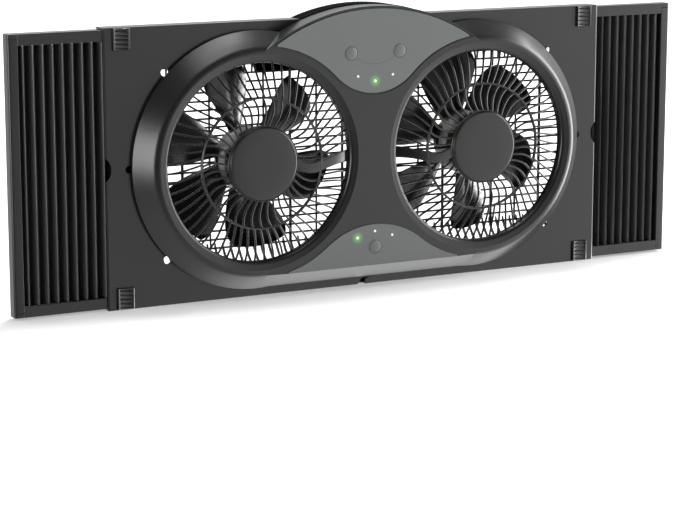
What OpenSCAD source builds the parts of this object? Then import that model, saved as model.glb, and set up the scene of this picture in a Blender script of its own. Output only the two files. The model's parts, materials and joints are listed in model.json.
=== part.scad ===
// Twin window fan with sliding side expanders.
// Millimetres. X to the right, Y to the back, Z up. The origin is the middle of the footprint, at the height
// of the sill. The room side, with the grilles and the control panels, faces -Y.

/* [Housing] */
// Width of the housing between the expanders
housing_w = 648.5; // [646:0.5:656]
// Height of the housing, which is the smallest window opening it fits
housing_h = 318; // [316:1:322]
// Thickness of the flat front panel
panel_t = 2; // [1.8:0.1:2.2]
// Thickness of the panel's top and bottom walls
panel_wall = 1.7; // [1.5:0.1:1.8]
// How far the top and bottom walls reach back from the panel's face
panel_depth = 22.5; // [22:0.5:24]
// Height of the finger notch in each side edge of the panel
notch_h = 27; // [20:1:32]
// Depth of the finger notch
notch_d = 7; // [4:0.5:8]

/* [Fans] */
// Distance between the two fan axes
fan_pitch = 290; // [288:1:292]
// Height of the fan axes
fan_z = 159; // [158:1:160]
// Tip radius of the impeller blades
impeller_r = 108; // [100:1:110]
// Number of impeller blades
blades = 6; // [4:1:7]
// Radius of the motor's laminated core
stator_r = 38; // [34:1:39]
// Radius of the motor shaft
shaft_r = 4; // [3:0.5:4]

/* [Bezel] */
// How far the bezel's rims stand in front of the panel
bezel_proud = 26.5; // [25:0.5:27]
// Radius of the bezel's foot on the panel
foot_r = 149.5; // [148:0.5:150]
// Radius where the sloped wall meets the flat rim
rim_r = 131; // [130:0.5:132]
// Radius of the opening at the rim's inner lip
lip_r = 114; // [113:0.5:116]
// Radius of the wide rear end of the air duct behind the lip
duct_r = 127; // [126:0.5:128]
// Radius of the arch over the top control panel
arch_r = 239; // [237:1:243]
// Height of the arch's crown
arch_top = 332; // [330:1:334]
// Wall thickness of the bezel
bezel_t = 2.4; // [2:0.1:2.8]

/* [Front grilles] */
// How far the hub caps stand in front of the panel
hub_proud = 33; // [32.5:0.5:33.5]
// Radius of the hub caps
hub_r = 42.3; // [40:0.1:44]
// Radius of the thin ring between the two rows of ribs
mid_ring_r = 75; // [72:1:78]
// Number of ribs between the hub and the thin ring
inner_ribs = 40; // [30:1:44]
// Number of ribs between the thin ring and the rim
outer_ribs = 60; // [48:1:64]
// Width of a rib
rib_w = 2.2; // [1.8:0.1:2.6]
// Depth of a rib from front to back
rib_d = 3.4; // [3:0.1:4]

/* [Control panels] */
// How far the grey control panels stand in front of the housing panel
controls_proud = 28; // [27.5:0.5:28.5]
// Radius of the push buttons
button_r = 8; // [7:0.5:8.5]
// Travel of a push button
button_travel = 1.2; // [0.8:0.1:1.2]

/* [Rear grille] */
// How far the rear grille's outer face is behind the panel's face
cage_depth = 57; // [56:0.5:58]
// Number of horizontal bars
cage_rows = 22; // [20:1:22]
// Distance between the horizontal bars
row_pitch = 10.23; // [10:0.01:10.3]
// Height of the lowest horizontal bar
row_first = 48.5; // [47:0.5:49]
// Distance between the vertical bars, which are thick and thin by turns
column_pitch = 34.7; // [34:0.1:35]
// Distance between the curved bars along the top and bottom
comb_pitch = 9.85; // [9:0.05:10]

/* [Expanders] */
// Visible width of an expander at full reach
expander_reach = 109.25; // [105:0.25:110]
// Width of the end stile
stile_w = 11.6; // [11:0.1:12.5]
// Height of the top and bottom rails
rail_h = 12.8; // [12:0.1:13]
// Depth of the expander's frame
expander_d = 16.5; // [16:0.1:16.6]
// Number of folds in the pleated curtain
pleats = 12; // [10:1:13]
// Travel of an expander
expander_travel = 97; // [80:1:97]

/* [Locks] */
// Width of a lock tab
lock_w = 20; // [18:1:22]
// Height of a lock tab
lock_h = 25; // [22:1:26]
// Travel of a lock tab
lock_travel = 4; // [3:0.5:4]

/* [Hidden] */
$fn = 96;

charcoal = "#46474a";
black = "#1d1e20";
grey = "#6e7573";
steel = "#b9bcc0";
copper = "#b5703a";
board_green = "#1f5a3a";

gap = 0.4;                                         // running gap round a sliding piece
seam = 0.05;                                       // gap between pieces that lie against each other
sink = 0.5;                                        // how far joined shapes reach into each other
cut = 1;                                           // how far a cutting shape runs past the face it cuts
half_w = housing_w / 2;
fan_x = fan_pitch / 2;
face_y = (hub_proud - cage_depth) / 2;             // the panel's face; the depth is centred on Y = 0
plate_back_y = face_y + panel_t;
skirt_end_y = face_y + panel_depth;
rim_y = face_y - bezel_proud;
hub_y = face_y - hub_proud;
controls_y = face_y - controls_proud;
back_y = face_y + cage_depth;
arch_z = arch_top - arch_r;                        // centre height of the arch's circle

// ---------- helpers ----------

// Extrudes an outline drawn in X and Z from y0 back to y1.
module slab(y0, y1) translate([0, y1, 0]) rotate([90, 0, 0]) linear_extrude(y1 - y0) children();

// Extrudes an outline drawn in Y and Z along X, centred on X = 0.
module lengthwise(length) translate([-length / 2, 0, 0]) rotate([90, 0, 90])
    linear_extrude(length) children();

// Turns a profile of radius and depth, points at(r, y), round the Y axis.
module turned() rotate([90, 0, 0]) rotate_extrude() children();
function at(r, y) = [r, -y];

// Places a piece on the left fan's axis; side 1 mirrors it to the right fan.
module fan(side) mirror([side > 0 ? 1 : 0, 0, 0]) translate([-fan_x, 0, fan_z]) children();
module both_fans() for (side = [-1, 1]) fan(side) children();
module both_sides() for (side = [0, 1]) mirror([side, 0, 0]) children();

// Puts a copy at each of a list of spots, given as X and Z.
module at_spots(spots) for (p = spots) translate([p[0], 0, p[1]]) children();

// Round bars, holes and tubes along Y, from y0 back to y1.
module disc(r, y0, y1) rotate([90, 0, 0]) translate([0, 0, -y1]) cylinder(r = r, h = y1 - y0);
module hole(r, y0, y1) disc(r, y0 - cut, y1 + cut);
module tube(r_out, r_in, y0, y1) difference() {
    disc(r_out, y0, y1);
    hole(r_in, y0, y1);
}

// ---------- front panel ----------

panel_open_r = duct_r + 2.2;
boss_spots = [for (x = [-236, -112, 112, 236]) for (z = [27, 291]) [x, z]];
boss_r = 3.6;
screw_r = 1.4;
boss_end_y = skirt_end_y - 2.9;
lock_inset = 20.8;                                 // from the housing's side to the middle of a lock tab
lock_slot_w = 9;
lock_slot_h = 7;
lock_stem_w = 8.2;
lock_stem_h = 2.6;
lock_slot_z = lock_h / 2 + 0.3 + lock_travel / 2;  // middle of the slot that a lock's stem slides in
snap_r = 4.6;
snap_out = 1.6;                                    // from the bezel's foot out to the middle of a snap hole
notch_r = (notch_h * notch_h / 4 + notch_d * notch_d) / (2 * notch_d);
snap_angles = [135, 180, 225];
handle_half = 66;                                  // half width of the hand hold behind the arch

notch_z = fan_z + 1;
post_w = 3;
hand_cut = 4;                                      // height of the cut for the hand hold at the top
hook_notch = [[-9, -cut], [2, -cut], [2, 5.4], [9, 8.6], [-3, 7.4]];
hook_notch_d = 7;
module snap_spots() for (a = snap_angles) rotate([0, -a, 0]) translate([foot_r + snap_out, 0, 0]) children();

module front_panel() color(charcoal) difference() {
    union() {
        slab(face_y, plate_back_y) translate([-half_w, 0]) square([housing_w, housing_h]);
        for (z = [0, housing_h - panel_wall]) translate([-half_w, face_y, z])
            cube([housing_w, panel_depth, panel_wall]);
        at_spots(boss_spots) disc(boss_r, plate_back_y - sink, boss_end_y);
        // posts that hold the inner ends of the pleated curtains
        both_sides() translate([pleat_in_x - post_w, plate_back_y - sink, pleat_z0])
            cube([post_w, boss_end_y - plate_back_y, pleat_h]);
    }
    at_spots(boss_spots) disc(screw_r, plate_back_y + cut, boss_end_y + cut);
    both_fans() {
        hole(panel_open_r, face_y, plate_back_y);
        snap_spots() hole(snap_r, face_y, plate_back_y);
    }
    both_sides() {
        translate([half_w - notch_d + notch_r, 0, notch_z]) hole(notch_r, face_y, plate_back_y);
        for (z = [lock_slot_z, housing_h - lock_slot_z])
            translate([half_w - lock_inset - lock_slot_w / 2, face_y - cut, z - lock_slot_h / 2])
                cube([lock_slot_w, panel_t + 2 * cut, lock_slot_h]);
    }
    // the top wall and the plate's edge make room for the hand hold
    translate([-handle_half - gap, plate_back_y, housing_h - hand_cut])
        cube([2 * (handle_half + gap), 2 * panel_depth, 2 * hand_cut]);
    // hook notch in the lower edge
    slab(face_y - cut, face_y + hook_notch_d) polygon(hook_notch);
}

// ---------- front bezel ----------

slope_foot_z = 10.5;                               // where the slope under the control panels meets the panel
slope_top_z = 27.6;
foot_lift = 5;                                     // the sloped wall stops this far in front of the panel
fillet_r = 10.7;                                   // radius of the edge between the rim and the slope
fillet_in = rim_r - 6;                             // radius where that edge starts
cone_lean = 47.4;                                  // angle of the sloped wall to the rim's plane
foot_step = 1.5;
bezel_back_y = face_y - 0.1;                       // the bezel's rear edge, just clear of the panel
core_r = 100;                                      // the surround is solid from here, then cut open
waist_half = 138;
waist_top = 288;
slope_step = 1.2;
arch_half = waist_half + 2;
arch_low_z = 240;

// Raised surround of one fan, thinner by inset all round.
module surround(inset) turned() polygon(concat(
    [at(core_r, rim_y + inset)],
    [for (i = [0:5]) let (a = cone_lean * i / 5)
        at(fillet_in + (fillet_r - inset) * sin(a), rim_y + fillet_r - (fillet_r - inset) * cos(a))],
    inset == 0 ? [at(foot_r, face_y - foot_lift), at(foot_r - foot_step, face_y - foot_lift + 0.4)]
        : [at(foot_r - foot_step - inset, face_y - foot_lift - foot_step)],
    [at(foot_r - foot_step - inset, bezel_back_y), at(core_r, bezel_back_y)]));

// The middle between the fans, with the slope under the lower control panel.
module waist(inset) lengthwise(2 * waist_half) polygon([
    [rim_y + inset, slope_top_z + inset], [rim_y + inset, waist_top], [bezel_back_y, waist_top],
    [bezel_back_y, slope_foot_z + slope_step + inset], [face_y - foot_lift, slope_foot_z + inset]]);

module arch(inset) slab(rim_y + inset, bezel_back_y) difference() {
    intersection() {
        translate([0, arch_z]) circle(r = arch_r - inset, $fn = 180);
        translate([inset - arch_half, arch_low_z]) square([2 * (arch_half - inset), arch_r / 2]);
    }
    for (s = [-1, 1]) translate([s * fan_x, fan_z]) circle(r = core_r);
}

module bezel_form(inset) {
    both_fans() surround(inset);
    waist(inset);
    arch(inset);
}

// The rolled inner lip and the duct wall behind it.
lip_round = 5;
lip_flange = 11;                                   // how far the lip reaches out to the flat rim
lip_drop = 1.2;                                    // how far the band between them slopes back
lip_end_y = rim_y + 7.2;
lip_t = 1.6;
duct_y = rim_y + 9;                                // where the duct starts behind the lip
duct_front_r = lip_r + 5.5;                        // from there it widens to its rear end
duct_end_y = plate_back_y + 1;
duct_t = 1.8;
module lip() turned() polygon(concat([at(lip_r + lip_flange, rim_y)],
    [for (i = [0:6]) let (a = 15 * i)
        at(lip_r + lip_round * (1 - sin(a)), rim_y + lip_drop + lip_round * (1 - cos(a)))],
    [at(lip_r, lip_end_y), at(lip_r + lip_t, lip_end_y), at(duct_front_r, duct_y), at(duct_r, duct_end_y),
    at(duct_r + duct_t, duct_end_y), at(duct_front_r + duct_t, duct_y),
    at(duct_front_r + duct_t - 0.4, rim_y + lip_drop + bezel_t), at(lip_r + lip_flange, rim_y + bezel_t)]));

// Outline of a control panel: it follows both fans at side_r and ends in a round lobe that peaks at lobe_z.
side_r = 133.5;
arc_step = 3;                                      // length of the straight pieces in an outline's arcs
function arc(centre, r, a0, a1) = let (n = ceil(abs(a1 - a0) * PI / 180 * r / arc_step))
    [for (i = [0:n]) let (a = a0 + (a1 - a0) * i / n) centre + r * [cos(a), sin(a)]];
function lobe_r(drop) = (fan_x * fan_x + drop * drop - side_r * side_r) / (2 * (side_r - drop));
// From the middle of the lobe out to the end of the arc round the right fan, for a lobe above the fans' axes.
function lobe_half(drop, end, grow) = let (r = lobe_r(drop), turn = atan2(drop + r, fan_x)) concat(
    arc([0, drop + r], r + grow, -90, -turn),
    [for (p = arc([fan_x, 0], side_r - grow, 180 - turn, end)) p]);
function mirrored(points) = [for (i = [len(points) - 1:-1:0]) [-points[i][0], points[i][1]]];

top_lobe_z = 231.4;
bottom_lobe_z = 76.6;
top_rim = 3.4;                                       // dark border left above the top control panel
module top_outline(grow) {
    r = arch_r - top_rim + grow;
    lift = arch_z - fan_z;
    d = norm([fan_x, lift]);
    lean = atan2(-lift, fan_x);
    side_end = lean + 180 - acos((d * d + pow(side_r - grow, 2) - r * r) / (2 * d * (side_r - grow)));
    tip = lean + acos((d * d + r * r - pow(side_r - grow, 2)) / (2 * d * r));
    half = concat(lobe_half(top_lobe_z - fan_z, side_end + 1, grow), arc([0, lift], r, tip + 0.6, 90));
    translate([0, fan_z]) polygon(concat(half, [for (i = [1:len(half) - 2]) mirrored(half)[i]]));
}
bottom_half = 112;
module bottom_outline(grow) {
    floor_drop = fan_z - slope_top_z - 0.4 + grow;
    side_end = acos((bottom_half + grow - fan_x) / (side_r - grow));
    half = concat(lobe_half(fan_z - bottom_lobe_z, side_end, grow), [[bottom_half + grow, floor_drop]]);
    translate([0, fan_z]) mirror([0, 1])
        polygon(concat(half, [for (i = [0:len(half) - 2]) mirrored(half)[i]]));
}

button_spots = [[-31.5, 278.6], [32, 278.6]];
bottom_button_spot = [0, 49.6];
top_lights = [[-22.5, 251.6], [0, 245.2], [23, 251.6]];
bottom_lights = [[-23, 62], [0, 68.4], [23, 62]];
lit = [top_lights[1], bottom_lights[0]];
unlit = [top_lights[0], top_lights[2], bottom_lights[1], bottom_lights[2]];
seat = 1.2;                                        // depth of the seats that the control panels sit in
groove = 2.2;                                      // width of the shadow groove round the top control panel
seat_gap = 0.15;
button_hole_r = button_r + 0.35;

// A hook on the bezel's foot that snaps behind the inner edge of its hole in the panel.
hook_w = 3;
hook_t = 1.3;
hook_catch = 1;                                    // how far it reaches behind the panel
hook_in = sqrt(pow(snap_r, 2) - pow(hook_w / 2, 2)) - 0.1;
module snap_hook() {
    translate([-hook_in, face_y - 1.5, -hook_w / 2]) cube([hook_t, panel_t + 3.1, hook_w]);
    translate([-hook_in - hook_catch, plate_back_y + 0.2, -hook_w / 2])
        cube([hook_t + hook_catch, 1.4, hook_w]);
}

light_r = 1.5;
light_seat_r = 2;
flange_step = 0.8;                                 // how far the flange behind a button stands out round it
button_seat_r = button_r + flange_step + gap;
well_d = 5;                                        // depth of the bores behind the buttons and the lights
pillar_r = 3;
pillar_bore_r = 1;

module front_bezel() color(charcoal) difference() {
    union() {
        difference() {
            bezel_form(0);
            bezel_form(bezel_t);
            both_fans() hole(lip_r + lip_flange - 1, rim_y, face_y);
        }
        both_fans() {
            lip();
            snap_spots() snap_hook();
        }
        // pillars that the two boards are screwed to
        at_spots(board_pillars) disc(pillar_r, rim_y + bezel_t - sink, board_y);
    }
    at_spots(board_pillars) disc(pillar_bore_r, board_y - 6, board_y + cut);
    both_sides() lead_hole();
    slab(rim_y - cut, rim_y + seat) top_outline(groove);
    slab(rim_y - cut, rim_y + seat) bottom_outline(seat_gap);
    at_spots(concat(button_spots, [bottom_button_spot])) hole(button_seat_r, rim_y, rim_y + well_d);
    at_spots(concat(lit, unlit)) hole(light_seat_r, rim_y, rim_y + well_d);
}

// ---------- control panels, buttons and indicators ----------

plate_end_y = rim_y + seat - 0.02;
module control_plate(spots, lights) difference() {
    slab(controls_y, plate_end_y) children();
    at_spots(spots) hole(button_hole_r, controls_y, plate_end_y);
    at_spots(lights) hole(light_r, controls_y, plate_end_y);
}
module top_control_panel() color(grey)
    control_plate(button_spots, top_lights) top_outline(0);
module bottom_control_panel() color(grey)
    control_plate([bottom_button_spot], bottom_lights) bottom_outline(0);

// A cap with a shallow dome, a flange that keeps it from falling out, and a stem towards its switch.
button_dome = 0.9;
button_end_y = rim_y + 3.4;
stem_r = 2;
module button(p) color(grey) at_spots([p]) {
    turned() polygon([at(0, controls_y - button_dome), at(button_r * 0.45, controls_y - button_dome * 0.8),
        at(button_r * 0.8, controls_y - button_dome * 0.4), at(button_r, controls_y + 0.3),
        at(button_r, plate_end_y + 0.3), at(button_r + flange_step, plate_end_y + 0.3),
        at(button_r + flange_step, button_end_y), at(0, button_end_y)]);
    disc(stem_r, button_end_y - sink, switch_y - button_travel - 0.15);
}

// A lens that shows in the control panel, with a thinner light guide to the board behind it.
guide_r = 1.1;
guide_y = rim_y + 3;
module indicators(spots) at_spots(spots) {
    disc(light_r, controls_y - 0.2, guide_y);
    disc(guide_r, guide_y - sink, board_y);
}
module lit_indicators() color("#7dff5a") indicators(lit);
module unlit_indicators() color("#f2f4f0") indicators(unlit);

// ---------- boards ----------

board_y = rim_y + 14;
board_t = 1.6;
switch_h = 5;                                      // height of a switch, with its plunger
switch_body_h = 3.5;
switch_w = 6;
switch_y = board_y - switch_h;
board_pillars = [[-52, 268], [52, 268], [-12, 238], [12, 238], [-46, 36], [46, 36]];
module board() slab(board_y, board_y + board_t) difference() {
    children();
    for (p = board_pillars) translate(p) circle(r = pillar_bore_r + 0.1);
}
module main_board() color(board_green) board() {
    translate([-62, 258]) square([124, 36]);
    translate([-30, 232]) square([60, 27]);
}
module lower_board() color(board_green) board() translate([-52, 31]) square([104, 38]);
module tact_switches() color(black) at_spots(concat(button_spots, [bottom_button_spot])) {
    translate([-switch_w / 2, board_y - switch_body_h, -switch_w / 2])
        cube([switch_w, switch_body_h, switch_w]);
    disc(1.7, switch_y, board_y - switch_body_h + 0.1);
}
// The remote control's receiver looks out through the grey panel from between the two upper buttons.
module ir_receiver() color(black) translate([0, 0, 262]) {
    translate([-2.6, board_y - 5, -3]) cube([5.2, 5, 6]);
    translate([0, board_y - 5, 0]) sphere(r = 2);
}
capacitor = [18, 9, 14];
module motor_capacitors() color("#d8d4c4") for (x = [-46, 46])
    translate([x - capacitor[0] / 2, board_y + board_t, 276]) cube(capacitor);

// ---------- front grilles ----------

// The dome of the grille: radius and depth of its front side, from the hub out to the rim.
dome = [[40, hub_y + 3], [60, hub_y + 2.6], [mid_ring_r, hub_y + 3.6], [90, hub_y + 6], [100, hub_y + 8.6],
    [110, hub_y + 12], [lip_r + 3.4, hub_y + 15.6]];
module dome_shell(first, last, depth) turned() polygon(concat(
    [for (i = [first:last]) at(dome[i][0], dome[i][1])],
    [for (i = [last:-1:first]) at(dome[i][0], dome[i][1] + depth)]));

// One rib, seen from the front: a strip of a circle of radius bend about (u, v), cut to the box from a to b.
module rib(bend, u, v, a, b, w) intersection() {
    translate([u, v]) difference() {
        circle(r = bend + w / 2, $fn = 120);
        circle(r = bend - w / 2, $fn = 120);
    }
    translate(a) square(b - a);
}
strut_w = 11.6;                                    // wire channel from the hub to the middle of the housing
strut_turn = 9;                                    // how far its inner half is turned on
inner_phase = 4.3;
outer_bend = 125;
inner_bend = 34;
module outer_rib(w) rib(outer_bend, lip_r + 2, -outer_bend, [mid_ring_r - 6, -16], [lip_r + 3, 8], w);
module inner_rib(w) rib(inner_bend, 58, inner_bend - 0.4, [hub_r + 0.6, -6 - w / 2], [mid_ring_r + 1, 12], w);
grille_ring_y = hub_y + 15.2;
hub_plate_y = hub_y + 4.4;
hub_plate_t = 2;
shaft_hole_r = 6;
screw_hole_r = 1.8;

module grille() {
    difference() {
        intersection() {
            dome_shell(2, 6, rib_d);
            slab(hub_y, face_y) union() {
                for (i = [0:outer_ribs - 1]) rotate(-360 * (i + 0.5) / outer_ribs) outer_rib(rib_w);
                outer_rib(strut_w);
            }
        }
        tube(2 * lip_r, lip_r + 2.6, hub_y - cut, face_y);
    }
    intersection() {
        dome_shell(0, 2, rib_d);
        slab(hub_y, face_y) union() {
            for (i = [1:inner_ribs]) rotate(-inner_phase - 360 * i / inner_ribs) inner_rib(rib_w);
            rotate(-strut_turn) inner_rib(strut_w);
        }
    }
    tube(mid_ring_r + 1.4, mid_ring_r - 1.4, hub_y + 3.4, hub_y + 7.4);
    tube(lip_r + 3.6, lip_r + 0.2, grille_ring_y, grille_ring_y + 4.2);
    // hub plate that the motor is screwed to, with a rim round the cap
    difference() {
        disc(hub_r + 2.2, hub_y + 2, hub_plate_y + hub_plate_t);
        disc(hub_r + 0.1, hub_y + cut, hub_plate_y);
        hole(shaft_hole_r, hub_plate_y, hub_plate_y + hub_plate_t);
        motor_screw_spots() hole(screw_hole_r, hub_plate_y, hub_plate_y + hub_plate_t);
    }
}
module motor_screw_spots() for (a = [45:90:359]) rotate([0, a, 0]) translate([26, 0, 0]) children();
module front_grille(side) color(charcoal) fan(side) grille();

cap_t = 1.8;
cap_end_y = hub_plate_y - 0.1;
module hub_cap(side) color(charcoal) fan(side) turned() polygon([
    at(0, hub_y), at(hub_r - 3, hub_y), at(hub_r - 1.2, hub_y + 0.5), at(hub_r - 0.3, hub_y + 1.4),
    at(hub_r, hub_y + 2.8), at(hub_r, cap_end_y), at(hub_r - cap_t, cap_end_y),
    at(hub_r - cap_t, hub_y + cap_t), at(0, hub_y + cap_t)]);

// ---------- motors and impellers ----------

bell_front_y = hub_plate_y + hub_plate_t + 0.1;
bell_front_d = 19;                                 // depths of the front bell, the core and the rear bell
core_d = 18;
bell_rear_d = 10.5;
core_y0 = bell_front_y + bell_front_d;
core_y1 = core_y0 + core_d;
bell_rear_y = core_y1 + bell_rear_d;
bell_t = 2.2;
bell_window = 15;                                  // width of the windows between the bell's four posts
bush_r = 7;
bush_d = 7;
rotor_r = 21;
slots = 12;
slot_r = 3.2;                                      // radius of a winding slot
slot_at = 28;                                      // radius of the circle that the slots lie on
coil_d = 7;

// A cup that covers one end of the core, open between four posts, with a boss for its bush.
module bell(y0, y1, base_at_front) difference() {
    union() {
        tube(stator_r, stator_r - bell_t, y0, y1);
        if (base_at_front) disc(stator_r, y0, y0 + bell_t);
        else disc(stator_r, y1 - bell_t, y1);
        disc(bush_r + 3, base_at_front ? y0 : y1 - bush_d, base_at_front ? y0 + bush_d : y1);
    }
    hole(bush_r, y0, y1);
    for (a = [0:90:359]) rotate([0, a, 0])
        translate([stator_r - 8, base_at_front ? y0 + bell_t + 1.2 : y0 - cut, -bell_window / 2])
            cube([12, y1 - y0 - bell_t - 0.2, bell_window]);
    if (base_at_front) motor_screw_spots() disc(1.3, y0 - cut, y0 + 4);
    else for (a = [45:90:359]) rotate([0, a, 0]) translate([24, 0, 0]) hole(4, y1 - bell_t, y1);
}
module front_bell(side) color(steel) fan(side) bell(bell_front_y, core_y0, true);
module rear_bell(side) color(steel) fan(side) bell(core_y1, bell_rear_y, false);

module slot_places() for (a = [0:360 / slots:359]) rotate([0, a, 0]) children();
module stator(side) color("#8a8c90") fan(side) difference() {
    disc(stator_r, core_y0, core_y1);
    hole(rotor_r + 0.6, core_y0, core_y1);
    slot_places() translate([slot_at, 0, 0]) hole(slot_r, core_y0, core_y1);
    slot_places() translate([rotor_r - 1, core_y0 - cut, -1]) cube([6, core_d + 2 * cut, 2]);
}
// Coil ends on both faces of the core, joined by the wires that fill its slots.
module windings(side) color(copper) fan(side) {
    for (y = [core_y0 - coil_d, core_y1]) tube(33, 23.6, y, y + coil_d);
    slot_places() translate([slot_at, 0, 0]) disc(slot_r - 0.2, core_y0 - sink, core_y1 + sink);
}
module bearings(side) color("#c49a55") fan(side) for (y = [bell_front_y, bell_rear_y - bush_d])
    tube(bush_r, shaft_r + seam, y, y + bush_d);
module rotor(side) color("#9a9ca0") fan(side) tube(rotor_r, shaft_r, core_y0, core_y1);

thrust_y = bell_front_y + 0.5;
shaft_end_y = bell_rear_y + 25;
module shaft(side) color(steel) fan(side) disc(shaft_r, thrust_y, shaft_end_y);

hub_y0 = bell_rear_y + 1;                          // front of the impeller's hub cup
blade_y = 14;                                      // depth of the blades' middle at their tips
blade_sweep = 7;                                   // how much further back it is at their roots
impeller_hub_r = 30;
impeller_hub_d = 17;
blade_t = 2;
blade_pitch_root = 36;                             // blade angle at the hub, from the plane of rotation
blade_pitch_tip = 19;
blade_phase = [38, 6];                             // where the left and the right impeller stand at rest
chord_root = 22;
chord_tip = 84;
tip_round = 22;                                    // how much the chord shrinks at the rounded tip
tip_lead = 10;                                     // how far the tip runs ahead of the root
camber = 3.2;
blade_steps = 9;
chord_steps = 6;

// A point of the blade: s runs from hub to tip, c across the chord from -0.5 to 0.5 and off through the
// thickness.
function blade_r(s) = impeller_hub_r - 3 + s * (impeller_r - impeller_hub_r + 3);
function blade_point(s, c, off) =
    let (r = blade_r(s),
         chord = chord_root + (chord_tip - chord_root) * s * (1.25 - 0.25 * s) - tip_round * pow(s, 8),
         pitch = blade_pitch_root + (blade_pitch_tip - blade_pitch_root) * s,
         along = c * chord + tip_lead * s * s,
         a = along * cos(pitch) / r * 180 / PI,
         y = blade_y + blade_sweep * pow(1 - s, 2) - c * chord * sin(pitch) + camber * (1 - 4 * c * c) + off)
    [r * cos(a), y, r * sin(a)];
// The blade's skin is a row of closed rings: across the front of the chord and back along its rear.
side_count = chord_steps + 1;
ring_count = 2 * side_count;
blade_skin = [for (i = [0:blade_steps]) for (k = [0:ring_count - 1]) let (front = k < side_count)
    blade_point(i / blade_steps, (front ? k : ring_count - 1 - k) / chord_steps - 0.5, front ? 0 : blade_t)];
function skin(i, k) = i * ring_count + k % ring_count;
function quad(a, b, c, d) = [[a, b, c], [a, c, d]];
blade_faces = concat(
    [for (i = [0:blade_steps - 1]) for (k = [0:ring_count - 1])
        each quad(skin(i, k), skin(i, k + 1), skin(i + 1, k + 1), skin(i + 1, k))],
    [for (j = [0:chord_steps - 1])
        each quad(skin(0, j + 1), skin(0, j), skin(0, ring_count - 1 - j), skin(0, ring_count - 2 - j))],
    [for (j = [0:chord_steps - 1])
        each quad(skin(blade_steps, j), skin(blade_steps, j + 1),
            skin(blade_steps, ring_count - 2 - j), skin(blade_steps, ring_count - 1 - j))]);

hub_wall = 2.2;
hub_core_r = 8;                                    // the sleeve round the shaft
hub_y1 = hub_y0 + impeller_hub_d;
module impeller(side) color(black) fan(side) difference() {
    union() {
        disc(impeller_hub_r, hub_y0, hub_y1);
        for (k = [0:blades - 1]) rotate([0, -blade_phase[side > 0 ? 1 : 0] - k * 360 / blades, 0])
            polyhedron(blade_skin, blade_faces);
    }
    difference() {
        disc(impeller_hub_r - hub_wall, hub_y0 - cut, hub_y1 - hub_wall - 0.2);
        disc(hub_core_r, hub_y0 - 2 * cut, hub_y1);
    }
    hole(shaft_r, hub_y0, hub_y1);
}
nut_r = 9;
nut_t = 4;
grips = 6;
module impeller_nut(side) color(black) fan(side) difference() {
    union() {
        disc(nut_r, hub_y1, hub_y1 + nut_t);
        for (a = [0:360 / grips:359]) rotate([0, a, 0]) translate([nut_r - 0.6, 0, 0])
            disc(1.6, hub_y1, hub_y1 + nut_t);
    }
    disc(shaft_r, hub_y1 - cut, shaft_end_y + cut);
}

// ---------- rear grille ----------

flange_y0 = boss_end_y;
flange_in = 19;                                    // height of the strips behind the expanders' rails
cage_screw_r = 1.8;
wall_t = 2.5;
bar_w = 2.2;
field_half = 9 * column_pitch;
field_top = row_first + (cage_rows - 1) * row_pitch;
bar_y0 = back_y - 3;
cage_side = field_half + wall_t;
comb_count = 2 * floor(field_half / comb_pitch) + 1;

// Sections in depth and height. The grille's top and bottom curve round from the housing to its flat back.
curve_y = face_y + 2.9;
curve_t = 2.6;
low_curve = [76.5, 61.2];                          // centre height and radius of the bottom curve
high_curve = [245.7, 57.1];
module curve_half(curve, up) translate([skirt_end_y - sink, up ? curve[0] : curve[0] - 100])
    square([back_y - skirt_end_y + sink, 100]);
module curve_wall(curve, up) intersection() {
    translate([curve_y, curve[0]]) difference() {
        circle(r = curve[1]);
        circle(r = curve[1] - curve_t);
    }
    curve_half(curve, up);
}
// Teeth at the ends of the curved bars, over the strips behind the expanders' rails.
module tooth() polygon([[skirt_end_y - sink, panel_wall + 0.1], [skirt_end_y + seam, panel_wall + 0.1],
    [skirt_end_y + seam, 0.6], [skirt_end_y + 1.4, 1.6], [skirt_end_y + 1.6, flange_in + 1],
    [skirt_end_y - sink, flange_in]]);
module low_bar(w) lengthwise(w) {
    curve_wall(low_curve, false);
    tooth();
}
module high_bar(w) lengthwise(w) {
    curve_wall(high_curve, true);
    translate([0, housing_h]) mirror([0, 1]) tooth();
}
module side_wall() lengthwise(wall_t) {
    translate([skirt_end_y - sink, low_curve[0]])
        square([back_y - skirt_end_y + sink, high_curve[0] - low_curve[0]]);
    for (c = [[low_curve, false], [high_curve, true]]) intersection() {
        translate([curve_y, c[0][0]]) circle(r = c[0][1]);
        curve_half(c[0], c[1]);
    }
}

// The flange that is screwed to the panel's bosses, with a pad round each screw.
module cage_flange() difference() {
    slab(flange_y0, skirt_end_y) {
        difference() {
            translate([1 - half_w, panel_wall + seam])
                square([housing_w - 2, housing_h - 2 * (panel_wall + seam)]);
            translate([wall_t - cage_side - 0.5, flange_in])
                square([2 * (cage_side - wall_t + 0.5), housing_h - 2 * flange_in]);
            translate([-handle_half - gap, housing_h - flange_in - 13]) square([2 * (handle_half + gap), 40]);
        }
        for (p = boss_spots) translate(p) {
            circle(r = 5.5);
            translate([-5.5, p[1] > fan_z ? 0 : -12]) square([11, 12]);
        }
    }
    at_spots(boss_spots) hole(cage_screw_r, flange_y0, skirt_end_y);
}
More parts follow.
